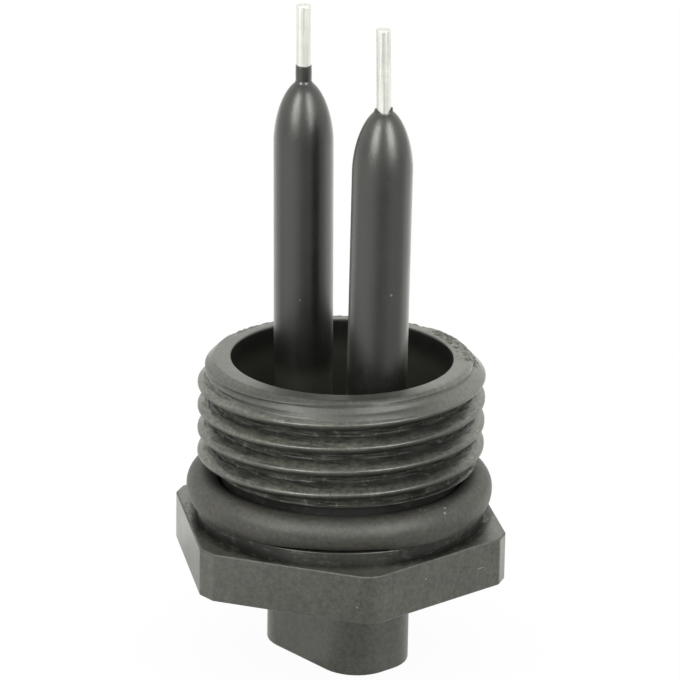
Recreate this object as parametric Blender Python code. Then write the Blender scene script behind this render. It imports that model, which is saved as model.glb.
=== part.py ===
"""Two-probe coolant level sensor with an M24 x 2 screw-in housing.

The origin is the centre of the plug shroud's lower rim, on the thread's axis. +Z runs up the axis towards the
probes, and +X runs along the plug's long side towards the right-hand probe. Lengths are in metres.
"""

import math

import bmesh
import bpy
from mathutils import Matrix

MM = 0.001

# Thread and skirt
THREAD_DIAMETER = 23.8 * MM
THREAD_PITCH = 2.0 * MM
THREAD_DEPTH = 1.13 * MM
THREAD_LENGTH = 9.2 * MM
THREAD_CREST_FLAT = 0.25 * MM
THREAD_ROOT_FLAT = 0.45 * MM
THREAD_CREST_BELOW_FACE = 1.56 * MM
LEAD_IN_DIAMETER = 21.2 * MM
RUN_OUT_HEIGHT = 0.65 * MM
BORE_DIAMETER = 18.36 * MM
BORE_FOOT_DIAMETER = 17.6 * MM
BORE_FLOOR_THICKNESS = 3.9 * MM

# Neck, ring seat and sealing ring
NECK_DIAMETER = 19.86 * MM
NECK_LENGTH = 3.44 * MM
SEAT_DIAMETER = 24.0 * MM
SEAT_HEIGHT = 1.15 * MM
RING_SECTION = 2.8 * MM

# Hexagon
HEX_ACROSS_FLATS = 25.6 * MM
HEX_ACROSS_CORNERS = 28.74 * MM
HEX_THICKNESS = 4.15 * MM
EDGE_BREAK = 0.15 * MM

# Plug shroud and socket
SHROUD_LENGTH = 13.1 * MM
SHROUD_WIDTH = 8.0 * MM
SHROUD_CORNER_RADIUS = 3.3 * MM
SHROUD_HEIGHT = 8.1 * MM
SHROUD_WALL = 1.05 * MM
SOCKET_DEPTH = 7.0 * MM
LATCH_WIDTH = 3.2 * MM
LATCH_PROUD = 0.7 * MM
LATCH_BOTTOM = 2.2 * MM
LATCH_RAMP_HEIGHT = 1.8 * MM
LATCH_LAND = 0.4 * MM

# Probes
PROBE_SPACING = 9.2 * MM
PROBE_DIAMETER = 4.94 * MM
PROBE_SHANK_ABOVE_FACE = 17.21 * MM
PROBE_DOME_HEIGHT = 5.35 * MM
PROBE_DOME_POWER = 1.88
PROBE_TIP_DIAMETER = 1.42 * MM
PROBE_FOOT_FILLET = 0.6 * MM
NECK_SLEEVE_DIAMETER = 1.42 * MM
NECK_SLEEVE_HEIGHT = 1.65 * MM

# Electrodes and contact tabs
ELECTRODE_DIAMETER = 1.2 * MM
ELECTRODE_ABOVE_PROBE = 6.67 * MM
ELECTRODE_TIP_BREAK = 0.08 * MM
TAB_SPACING = 5.0 * MM
TAB_WIDTH = 2.8 * MM
TAB_THICKNESS = 0.8 * MM
TAB_RECESS = 1.2 * MM
TAB_TIP_TAPER = 0.7 * MM
TAB_TIP_INSET = 0.2 * MM
TAB_FOOT_ABOVE_HEX_BOTTOM = 1.7 * MM
TAB_FOOT_OVERHANG = 0.8 * MM
TAB_BEND_RADIUS = 0.9 * MM

# Clearances between pieces
RING_CLEARANCE = 0.05 * MM
INSERT_CLEARANCE = 0.03 * MM

# How finely round forms are divided
THREAD_STEPS = 64
TURNING_STEPS = 72
PROBE_STEPS = 36
DOME_STEPS = 8
ROD_STEPS = 20
CORNER_STEPS = 7
RING_STEPS = 64
RING_SECTION_STEPS = 16
FILLET_STEPS = 3

# Joined solids reach this far into each other, and cutters this far past the face they open
REACH = 0.8 * MM
MERGE_DISTANCE = 0.0005 * MM

# Heights up the axis
HEX_BOTTOM = SHROUD_HEIGHT
HEX_TOP = HEX_BOTTOM + HEX_THICKNESS
SEAT_TOP = HEX_TOP + SEAT_HEIGHT
THREAD_BOTTOM = SEAT_TOP + NECK_LENGTH
END_FACE = THREAD_BOTTOM + THREAD_LENGTH
BORE_FLOOR = HEX_BOTTOM + BORE_FLOOR_THICKNESS
TAB_FOOT_BOTTOM = HEX_BOTTOM + TAB_FOOT_ABOVE_HEX_BOTTOM
TAB_FOOT_TOP = TAB_FOOT_BOTTOM + TAB_THICKNESS
DOME_BOTTOM = END_FACE + PROBE_SHANK_ABOVE_FACE

# Radii and half sizes that several pieces share
CREST_RADIUS = THREAD_DIAMETER / 2
ROOT_RADIUS = CREST_RADIUS - THREAD_DEPTH
PROBE_RADIUS = PROBE_DIAMETER / 2
ELECTRODE_RADIUS = ELECTRODE_DIAMETER / 2
FLANK_WIDTH = (THREAD_PITCH - THREAD_CREST_FLAT - THREAD_ROOT_FLAT) / 2
HALF_FLAT_ANGLE = math.pi / 6

SIDES = {"left": -1, "right": 1}


def clear_scene():
    """Removes every object that the file opened with."""
    for obj in list(bpy.data.objects):
        bpy.data.objects.remove(obj, do_unlink=True)


def make_material(name, color, roughness, metallic=0.0):
    """A Principled material."""
    material = bpy.data.materials.new(name)
    material.use_nodes = True
    shader = material.node_tree.nodes["Principled BSDF"]
    shader.inputs["Base Color"].default_value = (*color, 1.0)
    shader.inputs["Roughness"].default_value = roughness
    shader.inputs["Metallic"].default_value = metallic
    return material


def add_object(name, bm, material=None):
    """Turns a bmesh into a linked object with its faces pointing out."""
    bmesh.ops.recalc_face_normals(bm, faces=bm.faces)
    mesh = bpy.data.meshes.new(name)
    bm.to_mesh(mesh)
    bm.free()
    obj = bpy.data.objects.new(name, mesh)
    bpy.context.scene.collection.objects.link(obj)
    if material:
        mesh.materials.append(material)
    return obj


def shade_round(obj):
    """Smooth shading that keeps the real edges sharp."""
    obj.data.shade_smooth()
    obj.data.set_sharp_from_angle(angle=math.radians(35))


def turned(name, profile, steps, centre=(0.0, 0.0), material=None):
    """Spins a list of (radius, height) points into a solid. Its first and last points lie on the axis, level with
    the points next to them, and its two ends become single flat faces.
    """
    bm = bmesh.new()
    verts = [bm.verts.new((radius, 0.0, height)) for radius, height in profile]
    edges = [bm.edges.new(pair) for pair in zip(verts, verts[1:])]
    bmesh.ops.spin(bm, geom=verts + edges, axis=(0, 0, 1), angle=2 * math.pi, steps=steps, use_merge=True)
    bmesh.ops.remove_doubles(bm, verts=bm.verts, dist=MERGE_DISTANCE)
    bmesh.ops.dissolve_verts(bm, verts=[vert for vert in bm.verts if vert.co.xy.length < MERGE_DISTANCE])
    bmesh.ops.translate(bm, verts=bm.verts, vec=(*centre, 0.0))
    return add_object(name, bm, material)


def extrude_face(bm, face, vector):
    """Extrudes a face along a vector and keeps it as the solid's other end."""
    extruded = bmesh.ops.extrude_face_region(bm, geom=[face])
    moved = [item for item in extruded["geom"] if isinstance(item, bmesh.types.BMVert)]
    bmesh.ops.translate(bm, verts=moved, vec=vector)


def prism(name, outline, bottom, top, edge_break=0.0, material=None):
    """Extrudes an outline in plan between two heights, with its two rims broken by a small bevel."""
    bm = bmesh.new()
    base = bm.faces.new([bm.verts.new((x, y, bottom)) for x, y in outline])
    extrude_face(bm, base, (0, 0, top - bottom))
    if edge_break:
        rims = [edge for edge in bm.edges if abs(edge.verts[0].co.z - edge.verts[1].co.z) < edge_break]
        bmesh.ops.bevel(bm, geom=rims, offset=edge_break, segments=1, affect="EDGES")
    return add_object(name, bm, material)


def boolean(target, tool, operation):
    """Adds a Boolean modifier and hides the tool that it uses."""
    modifier = target.modifiers.new(tool.name, "BOOLEAN")
    modifier.operation = operation
    modifier.object = tool
    modifier.solver = "EXACT"
    tool.hide_render = True
    tool.display_type = "WIRE"


def arc(centre, radius, start, end, steps):
    """Points on an arc, from one angle to another in degrees."""
    angles = [math.radians(start + (end - start) * step / steps) for step in range(steps + 1)]
    return [(centre[0] + radius * math.cos(angle), centre[1] + radius * math.sin(angle)) for angle in angles]


def rod_profile(radius, bottom, top, edge_break):
    """A rod with broken ends."""
    return [
        (0.0, bottom),
        (radius - edge_break, bottom),
        (radius, bottom + edge_break),
        (radius, top - edge_break),
        (radius - edge_break, top),
        (0.0, top),
    ]


def hexagon_outline():
    """A sharp hexagon with two flats square to X."""
    radius = HEX_ACROSS_FLATS / 2 / math.cos(HALF_FLAT_ANGLE)
    angles = [HALF_FLAT_ANGLE * (2 * corner + 1) for corner in range(6)]
    return [(radius * math.cos(angle), radius * math.sin(angle)) for angle in angles]


def hexagon(material):
    """The hexagon, its corners turned to a cylinder and then its rims broken."""
    body = prism("housing", hexagon_outline(), HEX_BOTTOM, HEX_TOP, material=material)
    profile = rod_profile(HEX_ACROSS_CORNERS / 2, HEX_BOTTOM - REACH, HEX_TOP + REACH, EDGE_BREAK)
    boolean(body, turned("hexagon_turning", profile, TURNING_STEPS), "INTERSECT")
    edge_break = body.modifiers.new("edge_break", "BEVEL")
    edge_break.width = EDGE_BREAK
    edge_break.segments = 1
    edge_break.limit_method = "ANGLE"
    edge_break.angle_limit = math.radians(60)
    return body


def rounded_rectangle(length, width, radius):
    """An outline centred on the axis, long along X."""
    points = []
    for quarter, (side_x, side_y) in enumerate([(1, 1), (-1, 1), (-1, -1), (1, -1)]):
        centre = (side_x * (length / 2 - radius), side_y * (width / 2 - radius))
        points += arc(centre, radius, 90 * quarter, 90 * quarter + 90, CORNER_STEPS)
    return points


def shroud_outline(inset=0.0):
    """The plug shroud in plan, or its inner wall when it is inset by the wall."""
    return rounded_rectangle(
        SHROUD_LENGTH - 2 * inset, SHROUD_WIDTH - 2 * inset, max(SHROUD_CORNER_RADIUS - inset, 0.2 * MM)
    )


def latch_nose():
    """The wedge on the shroud's hidden long side, which the plug's latch snaps over."""
    wall = SHROUD_WIDTH / 2
    ramp_top = LATCH_BOTTOM + LATCH_RAMP_HEIGHT
    outline = [
        (wall - SHROUD_WALL / 2, LATCH_BOTTOM),
        (wall, LATCH_BOTTOM),
        (wall + LATCH_PROUD, ramp_top),
        (wall + LATCH_PROUD, ramp_top + LATCH_LAND),
        (wall - SHROUD_WALL / 2, ramp_top + LATCH_LAND),
    ]
    bm = bmesh.new()
    verts = [bm.verts.new((-LATCH_WIDTH / 2, y, z)) for y, z in outline]
    extrude_face(bm, bm.faces.new(verts), (LATCH_WIDTH, 0, 0))
    return add_object("latch_nose", bm)


def skirt_blank():
    """Ring seat, neck and the unthreaded skirt, with a chamfer at each end of the thread."""
    lead_in = CREST_RADIUS - LEAD_IN_DIAMETER / 2
    profile = [
        (0.0, HEX_TOP - REACH),
        (SEAT_DIAMETER / 2, HEX_TOP - REACH),
        (SEAT_DIAMETER / 2, SEAT_TOP),
        (NECK_DIAMETER / 2, SEAT_TOP),
        (NECK_DIAMETER / 2, THREAD_BOTTOM),
        (ROOT_RADIUS, THREAD_BOTTOM),
        (CREST_RADIUS, THREAD_BOTTOM + RUN_OUT_HEIGHT),
        (CREST_RADIUS, END_FACE - lead_in),
        (LEAD_IN_DIAMETER / 2, END_FACE),
        (0.0, END_FACE),
    ]
    return turned("skirt_blank", profile, THREAD_STEPS)


def thread_groove():
    """The right-hand groove that leaves the thread standing, swept from the neck to past the end face.

    Its steps lie half way between those of the skirt, so that no edge of one runs along an edge of the other.
    """
    half_root = THREAD_ROOT_FLAT / 2
    half_mouth = half_root + FLANK_WIDTH
    outside = CREST_RADIUS + REACH
    step_angle = 2 * math.pi / THREAD_STEPS
    rise = THREAD_PITCH / THREAD_STEPS
    groove_at_x = END_FACE - THREAD_CREST_BELOW_FACE - THREAD_PITCH / 2
    first_step = math.floor((THREAD_BOTTOM - THREAD_PITCH / 2 - groove_at_x) / rise)
    last_step = math.ceil((END_FACE + THREAD_PITCH - groove_at_x) / rise)
    start = groove_at_x + (first_step + 0.5) * rise
    section = [
        (ROOT_RADIUS, start - half_root),
        (CREST_RADIUS, start - half_mouth),
        (outside, start - half_mouth),
        (outside, start + half_mouth),
        (CREST_RADIUS, start + half_mouth),
        (ROOT_RADIUS, start + half_root),
    ]
    bm = bmesh.new()
    face = bm.faces.new([bm.verts.new((radius, 0.0, height)) for radius, height in section])
    bmesh.ops.rotate(bm, verts=bm.verts, matrix=Matrix.Rotation((first_step + 0.5) * step_angle, 3, "Z"))
    count = last_step - first_step
    bmesh.ops.spin(
        bm, geom=[*bm.verts, *bm.edges, face], axis=(0, 0, 1), dvec=(0, 0, rise), angle=count * step_angle, steps=count
    )
    return add_object("thread_groove", bm)


def skirt_bore():
    """The blind hole in the skirt, drafted from the end face down to its floor."""
    slope = (BORE_DIAMETER - BORE_FOOT_DIAMETER) / 2 / (END_FACE - BORE_FLOOR)
    profile = [
        (0.0, BORE_FLOOR),
        (BORE_FOOT_DIAMETER / 2, BORE_FLOOR),
        (BORE_DIAMETER / 2 + slope * REACH, END_FACE + REACH),
        (0.0, END_FACE + REACH),
    ]
    return turned("skirt_bore", profile, THREAD_STEPS)


def dome_height(radius):
    """Height of the probe's dome at a radius. The dome is a little more pointed than an ellipse."""
    share = max(0.0, 1 - (radius / PROBE_RADIUS) ** PROBE_DOME_POWER)
    return DOME_BOTTOM + PROBE_DOME_HEIGHT * share ** (1 / PROBE_DOME_POWER)


def probe_top():
    """Height of the flat ring that ends the dome round the electrode."""
    return dome_height(PROBE_TIP_DIAMETER / 2)


def probe(side):
    """One insulating finger: a filleted foot, a straight shank and a dome, with a sleeve on the left one."""
    profile = [(0.0, BORE_FLOOR - REACH), (PROBE_RADIUS + PROBE_FOOT_FILLET, BORE_FLOOR - REACH)]
    fillet_centre = (PROBE_RADIUS + PROBE_FOOT_FILLET, BORE_FLOOR + PROBE_FOOT_FILLET)
    profile += arc(fillet_centre, PROBE_FOOT_FILLET, 270, 180, FILLET_STEPS)
    first = math.asin(min(1.0, PROBE_TIP_DIAMETER / PROBE_DIAMETER))
    for step in range(DOME_STEPS + 1):
        radius = PROBE_RADIUS * math.sin(math.pi / 2 + (first - math.pi / 2) * step / DOME_STEPS)
        profile.append((radius, dome_height(radius)))
    if side == "left":
        profile += [
            (NECK_SLEEVE_DIAMETER / 2, probe_top()),
            (NECK_SLEEVE_DIAMETER / 2, probe_top() + NECK_SLEEVE_HEIGHT),
            (0.0, probe_top() + NECK_SLEEVE_HEIGHT),
        ]
    else:
        profile.append((0.0, probe_top()))
    return turned(f"probe_{side}", profile, PROBE_STEPS, centre=(SIDES[side] * PROBE_SPACING / 2, 0.0))


def electrode_top():
    """Height of the bare end of both electrodes."""
    return probe_top() + ELECTRODE_ABOVE_PROBE


def electrode(side, material):
    """The rod that runs from its contact tab up through the probe."""
    profile = rod_profile(ELECTRODE_RADIUS, TAB_FOOT_TOP + INSERT_CLEARANCE, electrode_top(), ELECTRODE_TIP_BREAK)
    rod = turned(
        f"electrode_{side}", profile, ROD_STEPS, centre=(SIDES[side] * PROBE_SPACING / 2, 0.0), material=material
    )
    shade_round(rod)
    return rod


def electrode_passage(side):
    """The hole that the electrode fills, from the tab's foot to above the probe."""
    profile = [
        (0.0, TAB_FOOT_TOP),
        (ELECTRODE_RADIUS + INSERT_CLEARANCE, TAB_FOOT_TOP),
        (ELECTRODE_RADIUS + INSERT_CLEARANCE, electrode_top()),
        (0.0, electrode_top()),
    ]
    centre = (SIDES[side] * PROBE_SPACING / 2, 0.0)
    return turned(f"electrode_passage_{side}", profile, ROD_STEPS, centre=centre)


def tab_outline(clearance=0.0):
    """The cranked strip seen along Y: a blade down into the socket and a foot out under the electrode."""
    inner = TAB_SPACING / 2 - TAB_THICKNESS / 2 - clearance
    outer = TAB_SPACING / 2 + TAB_THICKNESS / 2 + clearance
    foot_end = PROBE_SPACING / 2 + ELECTRODE_RADIUS + TAB_FOOT_OVERHANG + clearance
    top = TAB_FOOT_TOP + clearance
    bend = TAB_BEND_RADIUS + clearance
    outline = [
        (inner + TAB_TIP_INSET, TAB_RECESS - clearance),
        (outer - TAB_TIP_INSET, TAB_RECESS - clearance),
        (outer, TAB_RECESS + TAB_TIP_TAPER),
        (outer, TAB_FOOT_BOTTOM - clearance),
        (foot_end, TAB_FOOT_BOTTOM - clearance),
        (foot_end, top),
    ]
    outline += arc((inner + bend, top - bend), bend, 90, 180, FILLET_STEPS)
    outline.append((inner, TAB_RECESS + TAB_TIP_TAPER))
    return outline


def cranked_tab(name, side, clearance=0.0, material=None):
    """Extrudes the tab's outline across its width."""
    half_width = TAB_WIDTH / 2 + clearance
    bm = bmesh.new()
    verts = [bm.verts.new((SIDES[side] * x, -half_width, z)) for x, z in tab_outline(clearance)]
    extrude_face(bm, bm.faces.new(verts), (0, 2 * half_width, 0))
    return add_object(name, bm, material)


def housing(material):
    """The one-piece moulding: hexagon, shroud, threaded skirt and both probes, then everything cut out of it."""
    body = hexagon(material)
    boolean(body, skirt_blank(), "UNION")
    boolean(body, thread_groove(), "DIFFERENCE")
    boolean(body, skirt_bore(), "DIFFERENCE")
    boolean(body, prism("shroud", shroud_outline(), 0.0, HEX_BOTTOM + REACH, EDGE_BREAK), "UNION")
    boolean(body, latch_nose(), "UNION")
    boolean(body, prism("socket", shroud_outline(SHROUD_WALL), -REACH, SOCKET_DEPTH), "DIFFERENCE")
    for side in SIDES:
        boolean(body, probe(side), "UNION")
        boolean(body, electrode_passage(side), "DIFFERENCE")
        boolean(body, cranked_tab(f"tab_pocket_{side}", side, INSERT_CLEARANCE), "DIFFERENCE")
    shade_round(body)
    return body


def sealing_ring(material):
    """The round rubber ring, resting on its seat round the neck."""
    section = RING_SECTION / 2
    bpy.ops.mesh.primitive_torus_add(
        major_radius=NECK_DIAMETER / 2 + RING_CLEARANCE + section,
        minor_radius=section,
        major_segments=RING_STEPS,
        minor_segments=RING_SECTION_STEPS,
        location=(0, 0, SEAT_TOP + RING_CLEARANCE + section),
    )
    ring = bpy.context.object
    ring.name = "o_ring"
    ring.data.name = "o_ring"
    ring.data.materials.append(material)
    ring.data.shade_smooth()
    return ring


def main():
    clear_scene()
    plastic = make_material("black_plastic", (0.045, 0.046, 0.040), 0.55)
    rubber = make_material("black_rubber", (0.055, 0.053, 0.048), 0.6)
    steel = make_material("stainless_steel", (0.62, 0.61, 0.58), 0.3, metallic=1.0)
    tin = make_material("tinned_brass", (0.66, 0.65, 0.62), 0.35, metallic=1.0)
    housing(plastic)
    sealing_ring(rubber)
    for side in SIDES:
        electrode(side, steel)
        cranked_tab(f"terminal_{side}", side, material=tin)


main()
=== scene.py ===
"""Looks of a two-probe coolant level sensor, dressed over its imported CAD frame.

The origin is the centre of the plug shroud's lower rim, on the thread's axis. +Z runs up the axis towards the
probes, and +X runs along the plug's long side towards the right-hand probe. Lengths are in metres.
"""

import math

import bmesh
import bpy
import numpy as np
from mathutils import Matrix, Vector, noise


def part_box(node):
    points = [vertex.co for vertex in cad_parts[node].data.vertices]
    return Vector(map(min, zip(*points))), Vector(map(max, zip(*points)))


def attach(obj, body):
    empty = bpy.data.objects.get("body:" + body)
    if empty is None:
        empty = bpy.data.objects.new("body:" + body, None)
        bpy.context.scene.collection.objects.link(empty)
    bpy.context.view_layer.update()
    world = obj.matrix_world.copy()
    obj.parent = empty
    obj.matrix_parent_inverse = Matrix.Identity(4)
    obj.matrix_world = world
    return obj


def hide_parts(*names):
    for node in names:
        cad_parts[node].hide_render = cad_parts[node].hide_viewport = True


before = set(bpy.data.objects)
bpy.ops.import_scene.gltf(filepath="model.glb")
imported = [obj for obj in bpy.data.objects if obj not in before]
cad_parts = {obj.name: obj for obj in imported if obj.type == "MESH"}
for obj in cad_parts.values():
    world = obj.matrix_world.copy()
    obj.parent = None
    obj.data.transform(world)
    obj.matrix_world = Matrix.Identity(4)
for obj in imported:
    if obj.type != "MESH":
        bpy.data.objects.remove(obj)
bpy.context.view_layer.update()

bl_info = {
    "name": "Coolant level sensor",
    "version": (1, 0, 0),
    "blender": (4, 5, 0),
    "location": "3D View > Sidebar > Sensor",
    "description": "Builds a screw-in coolant level sensor over its CAD frame",
    "category": "Object",
}

MM = 0.001

# Heights up the axis
HEX_BOTTOM = 8.1 * MM
HEX_TOP = 12.25 * MM
SEAT_TOP = 13.4 * MM
THREAD_BOTTOM = 16.84 * MM
END_FACE = 26.04 * MM
BORE_FLOOR = 12.0 * MM
DOME_BOTTOM = 43.25 * MM
DOME_HEIGHT = 5.35 * MM
SOCKET_TOP = 7.0 * MM
TAB_FOOT_BOTTOM = 9.8 * MM
TAB_FOOT_TOP = 10.6 * MM

# Radii and widths
SEAT_RADIUS = 12.0 * MM
NECK_RADIUS = 9.93 * MM
LEAD_IN_RADIUS = 10.6 * MM
BORE_RADIUS = 9.18 * MM
BORE_FOOT_RADIUS = 8.8 * MM
HALF_FLATS = 12.8 * MM
CORNER_CUT = 14.35 * MM
SHROUD_LENGTH = 13.1 * MM
SHROUD_WIDTH = 8.0 * MM
SHROUD_CORNER = 3.3 * MM
SHROUD_WALL = 1.05 * MM
PROBE_RADIUS = 2.47 * MM
PROBE_OFFSET = 4.6 * MM
PROBE_FILLET = 0.6 * MM
PROBE_TIP_RADIUS = 0.71 * MM
DOME_POWER = 1.88
ELECTRODE_RADIUS = 0.6 * MM
TAB_OFFSET = 2.5 * MM
TAB_WIDTH = 2.8 * MM
TAB_THICKNESS = 0.8 * MM

# Where one mesh is stitched to the next, and how far joined forms reach into each other
SEAM_HEIGHT = 15.0 * MM
REACH = 0.8 * MM
CLEARANCE = 0.03 * MM

# The probe's foot fillet is sunk and the electrode's passage turned, so that no edges coincide in a Boolean
FOOT_SINK = 0.02 * MM
PASSAGE_TURN = math.radians(3.1)

# Divisions
SKIRT_COLUMNS = 320
PROBE_COLUMNS = 72
THREAD_ROW = 0.055 * MM

# The camera looks from this angle in plan, counted from +X
VIEW_ANGLE = math.radians(-40.85)

# How the photographed probes depart from the design, towards the camera's right: a shift, a lean above the
# bore's floor and a bend of the bare electrode. Their domes end a little higher or lower too.
SHIFTS = {"left": -0.067 * MM, "right": -0.218 * MM}
LEANS = {"left": -0.0122, "right": 0.0066}
BENDS = {"left": 0.0, "right": -0.034}
DOME_LIFTS = {"left": 0.12 * MM, "right": -0.12 * MM}

# How far the ring lies off the axis, to the camera's left
RING_PLAY = 0.05 * MM

SIDES = {"left": -1, "right": 1}

# Strength of the world in diffuse light, where 1 is white
DIFFUSE_WORLD = 0.7

# Colour of the lamps, and of the world and the table in reflections
LAMP_COLOR = (0.993, 1.0, 0.955)

# Colours of the matt black for dirt and painted shade in the grooves, and of the pale dust on the moulding
# and on the ring
DIRT_AND_SHADE_COLOR = (0.018, 0.019, 0.015)
DUST_COLOR = (0.42, 0.41, 0.38)
RING_DUST_COLOR = (0.42, 0.40, 0.38)

# What the thread's node tree takes, named like the properties of ThreadSizes
THREAD_INPUTS = ("Pitch", "Crest radius", "Root radius", "Crest flat", "Root flat")
THREAD_INPUTS += ("Groove height", "Softness")

# Softboxes: angle in plan from the camera's and elevation in degrees, distance, width and height in metres,
# radiance, and False for the one that all surfaces see, not glossy ones alone
SOFTBOXES = (
    ("highlight_left", -39, 30, 0.5, 0.25, 0.36, 10.0),
    ("highlight_right", 39, 30, 0.5, 0.25, 0.36, 11.0),
    ("side_left", -105, 28, 0.9, 1.1, 0.8, 0.6),
    ("side_right", 105, 28, 0.9, 1.1, 0.8, 0.6),
    ("backlight", 170, 30, 0.9, 1.1, 0.8, 0.5),
    ("overhead", 0, 80, 0.9, 1.3, 1.3, 0.3),
    ("ceiling", 0, 80, 0.9, 0.9, 0.9, 1.0, False),
)

# Cards on the table, in metres: limits to the camera's right, limits towards the camera, and radiance
CARDS = (
    ("card_left", -0.60, -0.022, 0.006, 0.30, 0.65),
    ("card_back_left", -0.60, -0.008, -0.60, -0.020, 0.60),
    ("card_right", 0.040, 0.60, 0.058, 0.30, 0.12),
    ("card_back_right", 0.024, 0.60, -0.60, -0.006, 0.85),
)

# Dust grains and scratches that the photograph shows: place in mm, reach in mm and how the reach is shortened
ROUND = (1.0, 1.0, 1.0)
PLASTIC_MARKS = (
    (11.83, 0.57, 24.12, 0.10, ROUND),
    (11.84, -0.40, 20.01, 0.11, ROUND),
    (12.79, -1.61, 10.73, 0.09, ROUND),
    (12.80, 4.40, 10.15, 0.40, (1.0, 1.0, 8.0)),
    (12.38, -7.63, 11.60, 0.34, (6.0, 6.0, 1.0)),
    (-3.13, -1.98, 30.50, 0.09, ROUND),
)
RING_MARKS = (
    (11.99, 1.01, 16.05, 0.11, ROUND),
    (12.34, 0.70, 15.80, 0.13, ROUND),
    (11.39, -1.19, 16.23, 0.09, ROUND),
    (11.60, -0.80, 16.20, 0.07, ROUND),
)


def length(name, tip, value):
    """A length in the panel."""
    return bpy.props.FloatProperty(name=name, description=tip, default=value, unit="LENGTH", precision=5)


def color(name, tip, value):
    """A colour in the panel."""
    return bpy.props.FloatVectorProperty(name=name, description=tip, default=value, subtype="COLOR")


class ThreadSizes(bpy.types.PropertyGroup):
    """Sizes of the screw thread."""

    pitch: length("Pitch", "Height of one turn", 2.0 * MM)
    crest_radius: length("Crest radius", "Half the thread's outside diameter", 11.9 * MM)
    root_radius: length("Root radius", "Half the diameter under the thread", 10.77 * MM)
    crest_flat: length("Crest flat", "Width of the flat on the crest", 0.25 * MM)
    root_flat: length("Root flat", "Width of the flat in the groove", 0.45 * MM)
    groove_height: length("Groove height", "Height of a groove's middle on the +X side", 23.48 * MM)
    softness: length("Softness", "How far the moulded edges are rounded", 0.16 * MM)


class Finishes(bpy.types.PropertyGroup):
    """Colours of the materials."""

    plastic: color("Plastic", "Colour of the black moulding", (0.068, 0.069, 0.057))
    rubber: color("Rubber", "Colour of the sealing ring", (0.070, 0.067, 0.056))
    steel: color("Steel", "Colour of the electrodes", (0.66, 0.655, 0.64))
    tin: color("Tin", "Colour of the plug's contact tabs", (0.66, 0.65, 0.62))
    floor: color("Floor", "Colour of the table", (0.85, 0.85, 0.85))


class Wire:
    """A node socket that takes part in arithmetic: an expression on wires adds its Math nodes."""

    def __init__(self, graph, socket):
        self.graph = graph
        self.socket = socket

    def math(self, operation, *values):
        """A Math node of that operation on the values."""
        return self.graph.add("ShaderNodeMath", {"operation": operation}, dict(enumerate(values)))

    def __add__(self, other):
        return self.math("ADD", self, other)

    def __radd__(self, other):
        return self.math("ADD", other, self)

    def __sub__(self, other):
        return self.math("SUBTRACT", self, other)

    def __rsub__(self, other):
        return self.math("SUBTRACT", other, self)

    def __mul__(self, other):
        return self.math("MULTIPLY", self, other)

    def __rmul__(self, other):
        return self.math("MULTIPLY", other, self)

    def __truediv__(self, other):
        return self.math("DIVIDE", self, other)

    def __rtruediv__(self, other):
        return self.math("DIVIDE", other, self)

    def __pow__(self, other):
        return self.math("POWER", self, other)

    def __abs__(self):
        return self.math("ABSOLUTE", self)


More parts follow.
